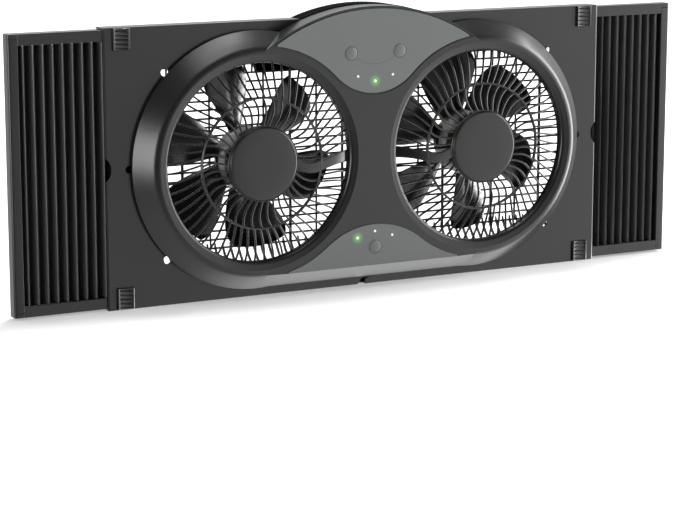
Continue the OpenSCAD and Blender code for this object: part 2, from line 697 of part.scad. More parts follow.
// The flat back: level bars across the fans' openings, and upright bars behind them, thick and thin by turns.
module cage_back() {
    for (i = [0:cage_rows - 1]) translate([-field_half, bar_y0, row_first + i * row_pitch - bar_w / 2])
        cube([2 * field_half, 1.9, bar_w]);
    for (k = [-8:8]) {
        w = k % 2 == 0 ? 3 : 1.9;
        translate([k * column_pitch - w / 2, bar_y0 + 1, row_first - bar_w / 2])
            cube([w, 2, field_top - row_first + bar_w]);
    }
}
module rear_grille() color(black) {
    cage_flange();
    difference() {
        cage_back();
        // the handle's plate closes the grille here
        translate([-plate_half - seam, bar_y0 - cut, plate_low - seam])
            cube([2 * (plate_half + seam), 10, 20]);
    }
    for (i = [0:comb_count - 1]) {
        x = (i - (comb_count - 1) / 2) * comb_pitch;
        translate([x, 0, 0]) low_bar(bar_w);
        if (abs(x) > plate_half + 1) translate([x, 0, 0]) high_bar(bar_w);
    }
    both_sides() translate([cage_side - wall_t / 2, 0, 0]) side_wall();
}

// ---------- carry handle ----------

handle_end_y = face_y + 24;
handle_r = arch_r + 1;                             // the handle stands out a little over the bezel's arch
tray_floor = 288;
arch_bar = 13;                                     // thickness of the arch that the hand holds
plate_half = 115;
plate_low = 255;
arch_piece_half = 100;
tray_wall = 2;
module carry_handle() color(black) difference() {
    union() {
        // the arch above the housing
        slab(face_y + seam, handle_end_y) intersection() {
            translate([0, arch_z]) circle(r = handle_r, $fn = 180);
            translate([-arch_piece_half, housing_h + seam]) square([2 * arch_piece_half, 30]);
        }
        // the tray under it, cut off along the curve of the rear grille
        intersection() {
            translate([-handle_half, plate_back_y + 2 * seam, tray_floor - tray_wall])
                cube([2 * handle_half, 60, housing_h - tray_floor + tray_wall + sink]);
            lengthwise(2 * handle_half) {
                translate([curve_y, high_curve[0]]) circle(r = high_curve[1]);
                translate([plate_back_y, high_curve[0]]) square([handle_end_y - plate_back_y, 100]);
            }
        }
        // the curved wall that closes the grille round the tray
        lengthwise(2 * plate_half) intersection() {
            curve_wall(high_curve, true);
            translate([skirt_end_y + seam, 0]) square([100, housing_h]);
        }
        translate([-plate_half, back_y - wall_t, plate_low])
            cube([2 * plate_half, wall_t, field_top - plate_low + 1]);
    }
    // room for the fingers, from behind the arch's front wall to the open back
    slab(plate_back_y + tray_wall, back_y + 2 * cut) intersection() {
        translate([0, arch_z]) circle(r = handle_r - arch_bar, $fn = 180);
        translate([tray_wall - handle_half, tray_floor]) square([2 * (handle_half - tray_wall), 60]);
    }
    translate([tray_wall - handle_half, handle_end_y, tray_floor])
        cube([2 * (handle_half - tray_wall), 60, 60]);
    // screws of the housing pass beside the tray
    at_spots(boss_spots) disc(6, flange_y0 - cut, back_y);
}

// ---------- expanders ----------

exp_y0 = plate_back_y + gap;
exp_y1 = exp_y0 + expander_d;
exp_z0 = panel_wall + gap;
exp_z1 = housing_h - panel_wall - gap;
out_x = half_w + expander_reach;
stile_x = out_x - stile_w;
rail_in_x = half_w - 58;                           // inner end of the rails when the expander is out
rail_lip = 1.6;
rail_groove = 3;
cap_h = 5.6;
module right_of(side) mirror([side < 0 ? 1 : 0, 0, 0]) children();

stile_round = 2.5;
// Section of the stile: square on the inside, rounded on its outer edges.
module stile_section(grow) {
    r = stile_round;
    translate([stile_x, exp_y0 - grow]) square([stile_w - r, expander_d + 2 * grow]);
    translate([stile_x, exp_y0 + r]) square([stile_w + grow, expander_d - 2 * r]);
    for (y = [exp_y0 + r, exp_y1 - r]) translate([out_x - r, y]) circle(r = r + grow);
}
module stile(side) color(charcoal) right_of(side) translate([0, 0, exp_z0 + cap_h])
    linear_extrude(exp_z1 - exp_z0 - 2 * cap_h) stile_section(0);
module stile_caps(side) color(charcoal) right_of(side) for (z = [exp_z0, exp_z1 - cap_h])
    translate([0, 0, z]) linear_extrude(cap_h) stile_section(0);
// A rail with a groove on its inner side for the edge of the curtain.
module rail(side, z0, groove_up) color(charcoal) right_of(side) difference() {
    translate([rail_in_x, exp_y0, z0]) cube([stile_x - rail_in_x, expander_d, rail_h]);
    translate([rail_in_x - cut, exp_y0 + rail_lip, groove_up ? z0 + rail_h - rail_groove : z0 - cut])
        cube([stile_x - rail_in_x + 2 * cut, expander_d - 2 * rail_lip, rail_groove + cut]);
}
module top_rail(side) rail(side, exp_z1 - rail_h, false);
module bottom_rail(side) rail(side, exp_z0, true);

// The curtain is one zigzag sheet, from its fixing strip inside the housing to the stile.
pleat_in_x = half_w - 40;
pleat_pitch = (stile_x - pleat_in_x - 1) / pleats;
pleat_y0 = exp_y0 + 2;
pleat_y1 = exp_y1 - 3;
pleat_t = 0.9;                                     // half the sheet's thickness across its slanted sides
pleat_z0 = exp_z0 + rail_h + gap;
pleat_h = exp_z1 - exp_z0 - 2 * (rail_h + gap);
// Folded up, the curtain has to fit between its fixing strip and the stile.
assert((stile_x - pleat_in_x - expander_travel) / pleats > 2 * pleat_t, "The folded curtain is too thick.");
pleat_line = [for (i = [0:2 * pleats]) [pleat_in_x + i * pleat_pitch / 2, i % 2 == 1 ? pleat_y0 : pleat_y1]];
module pleat_sheet(side) color("#232427") right_of(side) translate([0, 0, pleat_z0])
    linear_extrude(pleat_h)
        polygon(concat(pleat_line, [for (i = [2 * pleats:-1:0]) pleat_line[i] - [0, 2 * pleat_t]]));

// ---------- locks ----------

lock_d = 3;
lock_back_y = face_y - 0.25;
lock_base = 1.5;
bead_r = 1.1;
grip_r = 1.3;                                      // radius of the five ribs, and their distance
grip_pitch = 4.8;
module lock(x, z) color(charcoal) translate([x, 0, z]) {
    translate([-lock_w / 2, lock_back_y - lock_base, -lock_h / 2]) cube([lock_w, lock_base, lock_h]);
    // round beads down both sides, and round ribs between them for the thumb
    for (s = [-1, 1]) translate([s * (lock_w / 2 - bead_r), lock_back_y - lock_d + bead_r, -lock_h / 2])
        cylinder(r = bead_r, h = lock_h);
    for (k = [-2:2]) translate([-lock_w / 2 + 2, lock_back_y - lock_base + 0.1, k * grip_pitch])
        rotate([0, 90, 0]) cylinder(r = grip_r, h = lock_w - 4);
    translate([-lock_stem_w / 2, face_y - sink, -lock_stem_h / 2])
        cube([lock_stem_w, panel_t + 0.3, lock_stem_h]);
}
lock_x = half_w - lock_inset;
lock_low_z = lock_h / 2 + 0.3;
lock_high_z = housing_h - lock_low_z;

// ---------- leads and screws ----------

// Each motor's lead runs behind the wide rib of its grille, through the duct wall and up to the main board.
lead_r = 1.6;
lead_front_y = core_y0 - coil_d - lead_r;
lead_back_y = board_y + board_t + lead_r + 0.3;
lead_start = 27;                                   // where a lead leaves its motor, and where it steps back
lead_step = 98;
lead_middle = 5;                                   // how far the upright runs are from the middle
lead_top_z = 243.5;
elbow = 0.3;                                       // the runs that cross others are this much thicker
module lead_hole() fan(-1) translate([lip_r - 4, lead_back_y, 0]) rotate([0, 90, 0])
    cylinder(r = lead_r + 0.6, h = 24);
module motor_leads() color(black) both_sides() {
    translate([lead_start - fan_x, lead_front_y, fan_z]) rotate([0, 90, 0])
        cylinder(r = lead_r, h = lead_step - lead_start + 1.2);
    translate([lead_step - fan_x, 0, fan_z]) disc(lead_r + elbow, lead_front_y - 2.5, lead_back_y + 2.5);
    translate([lead_step - fan_x - 1.2, lead_back_y, fan_z]) rotate([0, 90, 0])
        cylinder(r = lead_r, h = fan_x - lead_step - lead_middle + 2.4);
    translate([-lead_middle, lead_back_y, fan_z - 2.5])
        cylinder(r = lead_r + elbow, h = lead_top_z - fan_z + 2.5);
}

module screw(head_r, head_h, r, y0, y1) {
    disc(head_r, y0, y0 + head_h);
    disc(r, y0 + head_h - 0.1, y1);
}
// The screws at the back are driven from behind, so they are drawn facing the other way and mirrored.
module from_behind(spots) at_spots(spots) mirror([0, 1, 0]) children();
module motor_screws() color(steel) both_fans() motor_screw_spots()
    screw(3, 1.8, 1.25, hub_y + 2.5, bell_front_y + 2.4);
module housing_screws() color(steel) from_behind(boss_spots)
    screw(3.2, 2, 1.35, -(skirt_end_y + 2), -(plate_back_y + 3));
module board_screws() color(steel) from_behind(board_pillars)
    screw(2.2, 1.2, 0.95, -(board_y + board_t + 1.2), -(board_y - 5));

// ---------- nodes ----------

front_panel();
front_bezel();
rear_grille();
carry_handle();
top_control_panel();
bottom_control_panel();
button(button_spots[0]);  // top_left_button
button(button_spots[1]);  // top_right_button
button(bottom_button_spot);  // bottom_button
lit_indicators();
unlit_indicators();
front_grille(-1);  // left_front_grille
hub_cap(-1);  // left_hub_cap
front_bell(-1);  // left_motor_front_bell
stator(-1);  // left_stator
windings(-1);  // left_windings
rear_bell(-1);  // left_motor_rear_bell
bearings(-1);  // left_bearings
rotor(-1);  // left_rotor
shaft(-1);  // left_shaft
impeller(-1);  // left_impeller
impeller_nut(-1);  // left_impeller_nut
front_grille(1);  // right_front_grille
hub_cap(1);  // right_hub_cap
front_bell(1);  // right_motor_front_bell
stator(1);  // right_stator
windings(1);  // right_windings
rear_bell(1);  // right_motor_rear_bell
bearings(1);  // right_bearings
rotor(1);  // right_rotor
shaft(1);  // right_shaft
impeller(1);  // right_impeller
impeller_nut(1);  // right_impeller_nut
stile(-1);  // left_stile
stile_caps(-1);  // left_stile_caps
top_rail(-1);  // left_top_rail
bottom_rail(-1);  // left_bottom_rail
pleat_sheet(-1);  // left_pleats
stile(1);  // right_stile
stile_caps(1);  // right_stile_caps
top_rail(1);  // right_top_rail
bottom_rail(1);  // right_bottom_rail
pleat_sheet(1);  // right_pleats
lock(-lock_x, lock_high_z);  // top_left_lock
lock(lock_x, lock_high_z);  // top_right_lock
lock(-lock_x, lock_low_z);  // bottom_left_lock
lock(lock_x, lock_low_z);  // bottom_right_lock
main_board();
lower_board();
tact_switches();
ir_receiver();
motor_capacitors();
motor_leads();
motor_screws();
housing_screws();
board_screws();
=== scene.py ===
# %% [markdown]
# # Twin window fan
# The model was built first in CAD, and this notebook dresses it. The frame brings every CAD piece in, already in
# place and in metres, so nothing here has to be fitted. X runs to the right as seen from the room, Y towards the
# outdoors and Z up.

# %% Load the frame
import json

import bmesh
import bpy
import numpy as np
from mathutils import Euler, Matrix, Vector


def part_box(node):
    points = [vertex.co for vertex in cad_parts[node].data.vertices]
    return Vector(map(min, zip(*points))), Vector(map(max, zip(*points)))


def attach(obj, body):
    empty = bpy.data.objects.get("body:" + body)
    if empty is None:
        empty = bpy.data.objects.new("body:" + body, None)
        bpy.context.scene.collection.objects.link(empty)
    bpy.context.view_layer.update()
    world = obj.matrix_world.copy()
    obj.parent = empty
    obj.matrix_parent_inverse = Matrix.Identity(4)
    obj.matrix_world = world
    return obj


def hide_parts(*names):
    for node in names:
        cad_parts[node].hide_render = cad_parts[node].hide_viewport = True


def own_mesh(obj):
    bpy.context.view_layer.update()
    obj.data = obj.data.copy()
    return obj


MM = 0.001
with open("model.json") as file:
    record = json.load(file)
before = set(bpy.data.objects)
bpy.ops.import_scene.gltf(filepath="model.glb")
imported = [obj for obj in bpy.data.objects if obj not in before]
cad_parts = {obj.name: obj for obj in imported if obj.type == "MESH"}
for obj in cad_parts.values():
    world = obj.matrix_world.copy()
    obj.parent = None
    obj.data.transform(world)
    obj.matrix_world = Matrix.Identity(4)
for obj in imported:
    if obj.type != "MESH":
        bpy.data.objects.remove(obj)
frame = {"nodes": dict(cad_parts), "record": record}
nodes = frame["nodes"]
node_body = {node: body for body, members in frame["record"]["behaviour"]["bodies"].items() for node in members}
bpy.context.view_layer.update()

# %% [markdown]
# The camera comes first. It stands to the left of the fan and a little above it, far away, and looks through a
# long lens. A long lens keeps the parallel edges of a flat product nearly parallel, which is why catalogue
# pictures are taken that way.

# %% Camera
IMAGE = (679, 514)
FOCAL_PX = 2233.16
CENTRE_PX = (345.4, 231.6)
SENSOR = 36
PITCH, YAW = 0.1876, 0.4786
camera = bpy.data.objects.new("camera", bpy.data.cameras.new("camera"))
camera.data.sensor_width = SENSOR
camera.data.lens = SENSOR * FOCAL_PX / IMAGE[0]
camera.data.shift_x = (IMAGE[0] / 2 - CENTRE_PX[0]) / IMAGE[0]
camera.data.shift_y = (CENTRE_PX[1] - IMAGE[1] / 2) / IMAGE[0]
camera.location = (-1.2154, -2.3072, 0.5559)
camera.rotation_euler = Euler((np.pi / 2 - PITCH, 0, -YAW))
bpy.context.scene.collection.objects.link(camera)
bpy.context.scene.camera = camera
bpy.context.scene.view_settings.view_transform = "Standard"
print("Camera lens:", round(camera.data.lens, 1), "mm")

# %% [markdown]
# Shader nodes are easier to read as sums than as boxes and wires. The class below wraps one socket, and an operator
# on it adds the Math node that does the sum. A colour never goes through a Math node, which would turn it grey.

# %% Shader maths as Python expressions
class Wire:
    """A number that runs through a shader. An operator on it adds a Math node."""

    def __init__(self, shader, socket):
        self.shader, self.socket = shader, socket

    def math(self, operation, *inputs):
        return self.shader.node("Math", {"operation": operation}, dict(enumerate(inputs)))

    def __add__(self, other):
        return self.math("ADD", self, other)

    def __sub__(self, other):
        return self.math("SUBTRACT", self, other)

    def __rsub__(self, other):
        return self.math("SUBTRACT", other, self)

    def __mul__(self, other):
        return self.math("MULTIPLY", self, other)

    def __truediv__(self, other):
        return self.math("DIVIDE", self, other)

    def __pow__(self, other):
        return self.math("POWER", self, other)

    __radd__ = __add__
    __rmul__ = __mul__

    def apply(self, operation, *others):
        """A Math node without an operator of its own, such as SINE or MINIMUM."""
        return self.math(operation, self, *others)

    def ramp(self, low, high):
        """0 below low, 1 above high and a smooth step between them."""
        settings = {"interpolation_type": "SMOOTHSTEP"}
        return self.shader.node("MapRange", settings, {"Value": self, "From Min": low, "From Max": high}, "Result")


class Shader:
    """The node tree of a material or a world, emptied and with only its output left."""

    def __init__(self, owner, output):
        owner.use_nodes = True
        self.tree = owner.node_tree
        self.tree.nodes.clear()
        self.end = self.tree.nodes.new(output)

    def node(self, kind, settings=None, inputs=None, output=0):
        """Adds a node. Its settings are set before its sockets, because some sockets depend on them."""
        made = self.tree.nodes.new("ShaderNode" + kind)
        for key, value in (settings or {}).items():
            setattr(made, key, value)
        for key, value in (inputs or {}).items():
            self.feed(made.inputs[key], value)
        return Wire(self, made.outputs[output])

    def feed(self, socket, value):
        if isinstance(value, Wire):
            self.tree.links.new(value.socket, socket)
        elif hasattr(value, "__len__") and socket.type == "RGBA":
            socket.default_value = (*value[:3], 1)
        else:
            socket.default_value = value

    def mix(self, share, first, second):
        """A blend of two colours."""
        settings = {"data_type": "RGBA"}
        return self.node("Mix", settings, {0: share, 6: first, 7: second}, 2)

    def place(self):
        """X, Y and Z of the shaded point in the object's own coordinates, in metres."""
        point = self.node("TexCoord", output="Object")
        return [self.node("SeparateXYZ", inputs={0: point}, output=axis) for axis in range(3)]

    def noise(self, scale, detail=2.0, roughness=0.5, stretch=(1, 1, 1)):
        """Cloudy noise from 0 to 1. scale is in patches per metre."""
        point = self.node("TexCoord", output="Object")
        point = self.node("Mapping", inputs={"Vector": point, "Scale": stretch})
        inputs = {"Vector": point, "Scale": scale, "Detail": detail, "Roughness": roughness}
        return self.node("TexNoise", inputs=inputs, output="Fac")


# %% [markdown]
# The studio is a pale floor, a white room behind the fan and four soft lamps. Dark satin plastic shows little colour
# of its own and is drawn mainly by what it mirrors. So the room is white behind and below the fan and dark in front,
# and it has two round bright patches: the flat faces mirror one, and the slope under the lower controls the other.
# The patches suit the camera above. They are not a plain even light, and the plastics are written darker than they
# render here, so the fan looks darker in an evenly white room. The floor is hidden from mirrored rays, which see the
# world below it. The soft boxes make the light bands on the sloped rings and on the rolled lips.

# %% Room
def direction_part(shader, towards, low, high):
    """A soft round patch of the sky about a direction, from the cosine of the angle to it."""
    ray = shader.node("TexCoord", output="Generated")
    towards = np.array(towards) / np.linalg.norm(towards)
    cosine = shader.node("VectorMath", {"operation": "DOT_PRODUCT"}, {0: ray, 1: towards.tolist()}, "Value")
    return cosine.ramp(low, high)


world = bpy.data.worlds.new("room")
bpy.context.scene.world = world
sky = Shader(world, "ShaderNodeOutputWorld")
DARK_ROOM = 0.05
PATCHES = [  # direction, cosine at the edge, cosine where it is full, strength
    ((0, 1, 0), -0.05, 0.45, 0.95),
    ((0.75, -0.66, -0.15), 0.76, 0.98, 1.9),
    ((0, 0, -1), 0.2, 0.6, 1.0),
    ((0.5, 0.13, -0.86), 0.81, 0.985, 1.3),
]
light = DARK_ROOM
for towards, edge, full, power in PATCHES:
    light = direction_part(sky, towards, edge, full) * power + light
through = sky.node("LightPath", output="Is Transmission Ray")
seen = sky.node("LightPath", output="Is Camera Ray").apply("MAXIMUM", through)
strength = light * (1 - seen) + seen
glow = sky.node("Background", inputs={"Color": (1, 1, 1), "Strength": strength})
sky.feed(sky.end.inputs["Surface"], glow)

FLOOR_HALF = 6
FLOOR_Z = -0.0005
FLOOR_GREY = 0.62
NEAR_LIFT, SHADOW_REACH, WHITE_FROM = 0.3, 0.7, 1.8
floor_mesh = bpy.data.meshes.new("floor")
floor_corners = [(x * FLOOR_HALF, y * FLOOR_HALF, FLOOR_Z) for x, y in ((-1, -1), (1, -1), (1, 1), (-1, 1))]
floor_mesh.from_pydata(floor_corners, [], [(0, 1, 2, 3)])
floor = bpy.data.objects.new("floor", floor_mesh)
bpy.context.scene.collection.objects.link(floor)
floor_paint = bpy.data.materials.new("floor")
paint = Shader(floor_paint, "ShaderNodeOutputMaterial")
floor_mesh.materials.append(floor_paint)
# The floor also gives off light that the camera sees. This is painted light: it is weak within SHADOW_REACH of the
# fan and full from WHITE_FROM out, so the floor is painted white far off and keeps the lamps' shadow near the fan.
x, y, z = paint.place()
far = ((x * x + y * y) ** 0.5).ramp(SHADOW_REACH, WHITE_FROM)
mirrored = paint.node("LightPath", output="Is Glossy Ray")
seen = paint.node("LightPath", output="Is Camera Ray").apply("MAXIMUM", mirrored)
shade = paint.node("BsdfDiffuse", inputs={"Color": (FLOOR_GREY,) * 3})
lift_strength = seen * (NEAR_LIFT + far * (1 - NEAR_LIFT))
lift = paint.node("Emission", inputs={"Color": (1, 1, 1), "Strength": lift_strength})
paint.feed(paint.end.inputs["Surface"], paint.node("AddShader", inputs={0: shade, 1: lift}))
floor.visible_glossy = False


def lamp(name, place, aim, size, power):
    """A square soft lamp that faces a point."""
    data = bpy.data.lights.new(name, "AREA")
    data.size, data.energy = size, power
    made = bpy.data.objects.new(name, data)
    made.location = place
    made.rotation_euler = (Vector(aim) - Vector(place)).to_track_quat("-Z", "Y").to_euler()
    made.visible_camera = False
    bpy.context.scene.collection.objects.link(made)


MIDDLE = (0, 0, 0.16)
lamp("top_back", (0.1, 0.35, 2.2), MIDDLE, 0.6, 60)
lamp("left_box", (-1.9, -0.75, 0.25), MIDDLE, 0.8, 24)
lamp("top_box", (-0.4, -0.6, 2.2), MIDDLE, 0.8, 8)
lamp("right_box", (2.0, 0.0, 0.3), MIDDLE, 2.2, 170)
print("Room: 4 lamps and", len(PATCHES), "patches of sky")

# %% [markdown]
# The housing is injection-moulded plastic with a fine spark-eroded grain, which scatters the highlights. The grain
# could be a picture mapped on, but noise on the object's own coordinates has no seams. A broad, faint cloudiness in
# the roughness keeps large faces from looking like flat paint.

# %% Finishes
finishes = {}


def new_finish(name):
    """The shader of a new material, kept in finishes under its name."""
    material = bpy.data.materials.new(name)
    shader = Shader(material, "ShaderNodeOutputMaterial")
    finishes[name] = material
    return shader


def finish_with(shader, inputs):
    shader.feed(shader.end.inputs["Surface"], shader.node("BsdfPrincipled", inputs=inputs))


def bump(shader, height, distance, strength=1.0):
    inputs = {"Height": height, "Distance": distance, "Strength": strength}
    return shader.node("Bump", inputs=inputs, output="Normal")


def plastic(name, colour, roughness, grain=0.00004, spread=0.06, gloss=0.5):
    """Moulded plastic: an even colour that drifts a little, a grained skin and a satin shine."""
    shader = new_finish(name)
    cloud = shader.noise(9, detail=3)
    pores = shader.noise(1500, detail=2, roughness=0.6)
    lighter = [min(1, c * 1.12) for c in colour]
    darker = [c * 0.9 for c in colour]
    finish_with(shader, {
        "Base Color": shader.mix(cloud, darker, lighter),
        "Roughness": roughness - spread / 2 + cloud * spread + pores * 0.05,
        "Normal": bump(shader, pores, grain),
        "Specular IOR Level": gloss,
    })


plastic("charcoal_plastic", (0.011, 0.011, 0.0112), 0.27, gloss=0.42)
plastic("rib_plastic", (0.008, 0.008, 0.0082), 0.24, grain=0.00001, gloss=0.45)
plastic("black_plastic", (0.010, 0.010, 0.0105), 0.36)
# The handle plastic is a darker, duller copy of the charcoal. Its darkness is partly painted shade, because the
# handle lies in shadow.
plastic("handle_plastic", (0.004, 0.004, 0.004), 0.8, gloss=0.01)
plastic("blade_plastic", (0.010, 0.010, 0.0105), 0.2, grain=0.00001)
plastic("curtain_vinyl", (0.020, 0.020, 0.0205), 0.42, grain=0.00005)
print("Plastics:", ", ".join(finishes))

# %% [markdown]
# The grey control panels are the one place with colour. The lit lamps throw a green glow on the panel round them.
# A compositor's glare could draw it, but then it would be in the picture and not on the product, so the panel gives
# off a little green light that fades with the distance from each lamp.

# %% Control panel finish
LIT = [(0, 245.2), (-23, 62)]
GLOW_REACH = 11
LINE_LOW, LINE_BEND, LINE_HALF = 265, 0.0127, 23
LINE_DOT_Z = 271.7


def distance_from(shader, spot):
    """Distance in millimetres, in the plane of the panels, from a spot given as X and Z in millimetres."""
    x, y, z = shader.place()
    return (((x / MM - spot[0]) ** 2) + ((z / MM - spot[1]) ** 2)) ** 0.5


def printed_line(shader):
    """A thin line that dips between the two upper buttons, with a dot at each end."""
    x, y, z = shader.place()
    across = x.apply("ABSOLUTE") / MM
    above = z / MM - (LINE_LOW + across * across * LINE_BEND)
    line = (1 - above.apply("ABSOLUTE").ramp(0.15, 0.5)) * (1 - across.ramp(LINE_HALF - 0.5, LINE_HALF))
    for end in (-LINE_HALF, LINE_HALF):
        dot = 1 - distance_from(shader, (end, LINE_DOT_Z)).ramp(0.5, 0.9)
        line = line.apply("MAXIMUM", dot)
    return line


def panel_paint(name, colour):
    """Matt grey plastic with the printed line, and a halo that falls off as the square of the nearness to a lamp."""
    shader = new_finish(name)
    cloud = shader.noise(14, detail=3)
    pores = shader.noise(1700, detail=2, roughness=0.6)
    halo = 0
    for spot in LIT:
        near = 1 - distance_from(shader, spot).ramp(1.0, GLOW_REACH)
        halo = near * near + halo
    base = shader.mix(cloud, [c * 0.95 for c in colour], [c * 1.05 for c in colour])
    base = shader.mix(printed_line(shader) * 0.5, base, [c * 0.2 for c in colour])
    finish_with(shader, {
        "Base Color": base,
        "Roughness": 0.44 + cloud * 0.05 + pores * 0.05,
        "Normal": bump(shader, pores, 0.00003),
        "Emission Color": shader.mix(halo, (0, 0, 0), (0.07, 0.28, 0.04)),
        "Emission Strength": 1.0,
    })


panel_paint("grey_plastic", (0.114, 0.124, 0.121))


def lens(name, colour, glow_colour, strength):
    """A small moulded lens, a little cloudy inside, that gives off an even light."""
    shader = new_finish(name)
    depth = shader.noise(900, detail=1)
    finish_with(shader, {
        "Base Color": shader.mix(depth, [c * 0.9 for c in colour], colour),
        "Roughness": 0.12,
        "Emission Color": glow_colour,
        "Emission Strength": strength,
    })


lens("lit_lens", (0.5, 0.9, 0.4), (0.55, 1.0, 0.36), 1.2)
# The clear lenses are the unlit lamps. Their faint white glow is painted light that keeps them white.
lens("clear_lens", (0.8, 0.82, 0.8), (1, 1, 1), 0.25)

# %% [markdown]
# Behind the grilles the motor shows: zinc-plated bells, a stack of rolled steel and enamelled copper coils. Each of
# these metals gets the marks of how it is made, and the direction of the marks follows the part.

# %% Metal and board finishes
FAN_X, FAN_Z = 0.145, 0.159
LAYER, WIRE = 0.0005, 0.0009


def radius_about_fan(shader):
    """Distance in metres from the axis of the nearer fan."""
    x, y, z = shader.place()
    across = x.apply("ABSOLUTE") - FAN_X
    return (across * across + (z - FAN_Z) ** 2) ** 0.5


def metal(name, colour, roughness, pattern, distance):
    """Bare metal: a clouded colour, and a relief from the pattern that its making leaves."""
    shader = new_finish(name)
    cloud = shader.noise(60, detail=4)
    finish_with(shader, {
        "Base Color": shader.mix(cloud, [c * 0.82 for c in colour], colour),
        "Metallic": 1.0,
        "Roughness": roughness + cloud * 0.12,
        "Normal": bump(shader, pattern(shader), distance),
    })


def layers(shader):
    """A sine along Y, one wave for each sheet of the stack."""
    return (shader.place()[1] * (2 * np.pi / LAYER)).apply("SINE")


def wires(shader):
    """A sine of the radius about the fan's axis, one wave for each wire."""
    return (radius_about_fan(shader) * (2 * np.pi / WIRE)).apply("SINE")


metal("zinc_plate", (0.19, 0.178, 0.135), 0.28, lambda shader: shader.noise(700, stretch=(1, 12, 1)), 0.00004)
metal("laminated_steel", (0.3, 0.305, 0.32), 0.38, layers, 0.0001)
metal("copper_wire", (0.6, 0.27, 0.09), 0.25, wires, 0.0002)
metal("sintered_bronze", (0.55, 0.37, 0.16), 0.5, lambda shader: shader.noise(1800, detail=4), 0.00008)
plastic("board_laminate", (0.012, 0.1, 0.045), 0.3)
plastic("capacitor_case", (0.55, 0.53, 0.44), 0.35)

node_slot = {part["node"]: part["material_slot"] for part in frame["record"]["subparts"]}
for node, made in nodes.items():
    made.data.materials.clear()
    made.data.materials.append(finishes[node_slot[node]])
print(len(nodes), "CAD nodes finished from", len(set(node_slot.values())), "slots")

# %% [markdown]
# New pieces are surfaces worked out with numpy. A shape is a grid of points from two parameters, and the faces
# join neighbouring points. Pieces with several surfaces collect them in one mesh.

# %% Grids to meshes
def grid(points, wrap_rows=False, wrap_columns=False, caps=False):
    """Faces between the neighbours in a grid of points (rows, columns, 3). wrap joins the last row or column to the
    first one, and caps closes the first and the last row with one face each."""
    rows, columns = points.shape[:2]
    index = np.arange(rows * columns).reshape(rows, columns)
    ends = [index[0].tolist(), index[-1][::-1].tolist()] if caps else []
    if wrap_rows:
        index = np.vstack([index, index[:1]])
    if wrap_columns:
        index = np.hstack([index, index[:, :1]])
    corners = [index[:-1, :-1], index[:-1, 1:], index[1:, 1:], index[1:, :-1]]
    return points.reshape(-1, 3), np.stack(corners, -1).reshape(-1, 4).tolist() + ends


def collected(parts):
    """Several (points, faces) pairs as one."""
    points = np.concatenate([part[0] for part in parts])
    starts = np.cumsum([0] + [len(part[0]) for part in parts])
    faces = [[i + start for i in face] for (_, faces), start in zip(parts, starts) for face in faces]
    return points, faces


def shape_edges(bm, angle):
    """Smooth shading, with the edges sharper than the angle kept hard."""
    for face in bm.faces:
        face.smooth = True
    for edge in bm.edges:
        edge.smooth = edge.calc_face_angle(np.pi) < float(angle)


def settle(piece, finish, body, replaced):
    """Gives a piece its finish and its body, and hides the CAD nodes that it stands for."""
    piece.data.materials.clear()
    piece.data.materials.append(finishes[finish])
    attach(piece, body)
    if replaced:
        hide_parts(*replaced)
    return piece


def build(name, parts, finish, body, replaced=(), angle=35):
    """One object from several grids, in millimetres, with its faces turned outwards."""
    points, faces = collected(parts)
    mesh = bpy.data.meshes.new(name)
    mesh.from_pydata((points * MM).tolist(), [], faces)
    bm = bmesh.new()
    bm.from_mesh(mesh)
    bmesh.ops.remove_doubles(bm, verts=bm.verts, dist=1e-6)
    bmesh.ops.recalc_face_normals(bm, faces=bm.faces)
    shape_edges(bm, np.radians(angle))
    bm.to_mesh(mesh)
    bm.free()
    piece = bpy.data.objects.new(name, mesh)
    bpy.context.scene.collection.objects.link(piece)
    print(f"{name}: {len(mesh.polygons)} faces")
    return settle(piece, finish, body, replaced)


# %% [markdown]
# Many housing parts have the right shape already, but their edges are razor sharp. A moulded edge always has a
# small radius, and the thin line of light along it is what makes it look real. So these parts are copied, their
# triangles are merged back into whole faces, and a Bevel modifier rounds the edges. Two of them are changed first.
# The panel's front gets a narrow chamfer at its sides, and the sharp ends of the lower slope sink into the rings.

# %% Round the moulded edges
FACE_Y = -12.0
CHAMFER_WIDE, CHAMFER_DEEP = 1.6, 0.9
SLOPE_CUT_X = 114
SLOPE_END_X, SLOPE_END_Y, SLOPE_END_Z, SLOPE_SINK = 138, -38.3, 27.6, 2.3


def moulded(node, width, angle=32, finish=None, change=None):
    """A copy of a CAD node with its edges rounded by width, in millimetres. change may alter the mesh before that."""
    mesh = nodes[node].data.copy()
    bm = bmesh.new()
    bm.from_mesh(mesh)
    bmesh.ops.remove_doubles(bm, verts=bm.verts, dist=2e-6)
    bmesh.ops.dissolve_limit(bm, angle_limit=np.radians(0.4), verts=bm.verts, edges=bm.edges)
    if change:
        change(bm)
    shape_edges(bm, np.radians(angle))
    bm.to_mesh(mesh)
    bm.free()
    piece = bpy.data.objects.new(node + "_moulded", mesh)
    bpy.context.scene.collection.objects.link(piece)
    rounding = piece.modifiers.new("rounding", "BEVEL")
    rounding.width = width * MM
    rounding.segments = 2
    rounding.limit_method = "ANGLE"
    rounding.angle_limit = np.radians(angle)
    rounding.harden_normals = True
    print(f"{piece.name}: edges rounded by {width} mm")
    return settle(piece, finish or node_slot[node], node_body[node], [node])


def cut_across(bm, x):
    """Cuts every face of a mesh along the plane at x, in metres."""
    geometry = bm.verts[:] + bm.edges[:] + bm.faces[:]
    bmesh.ops.bisect_plane(bm, geom=geometry, dist=1e-6, plane_co=(x, 0, 0), plane_no=(1, 0, 0))


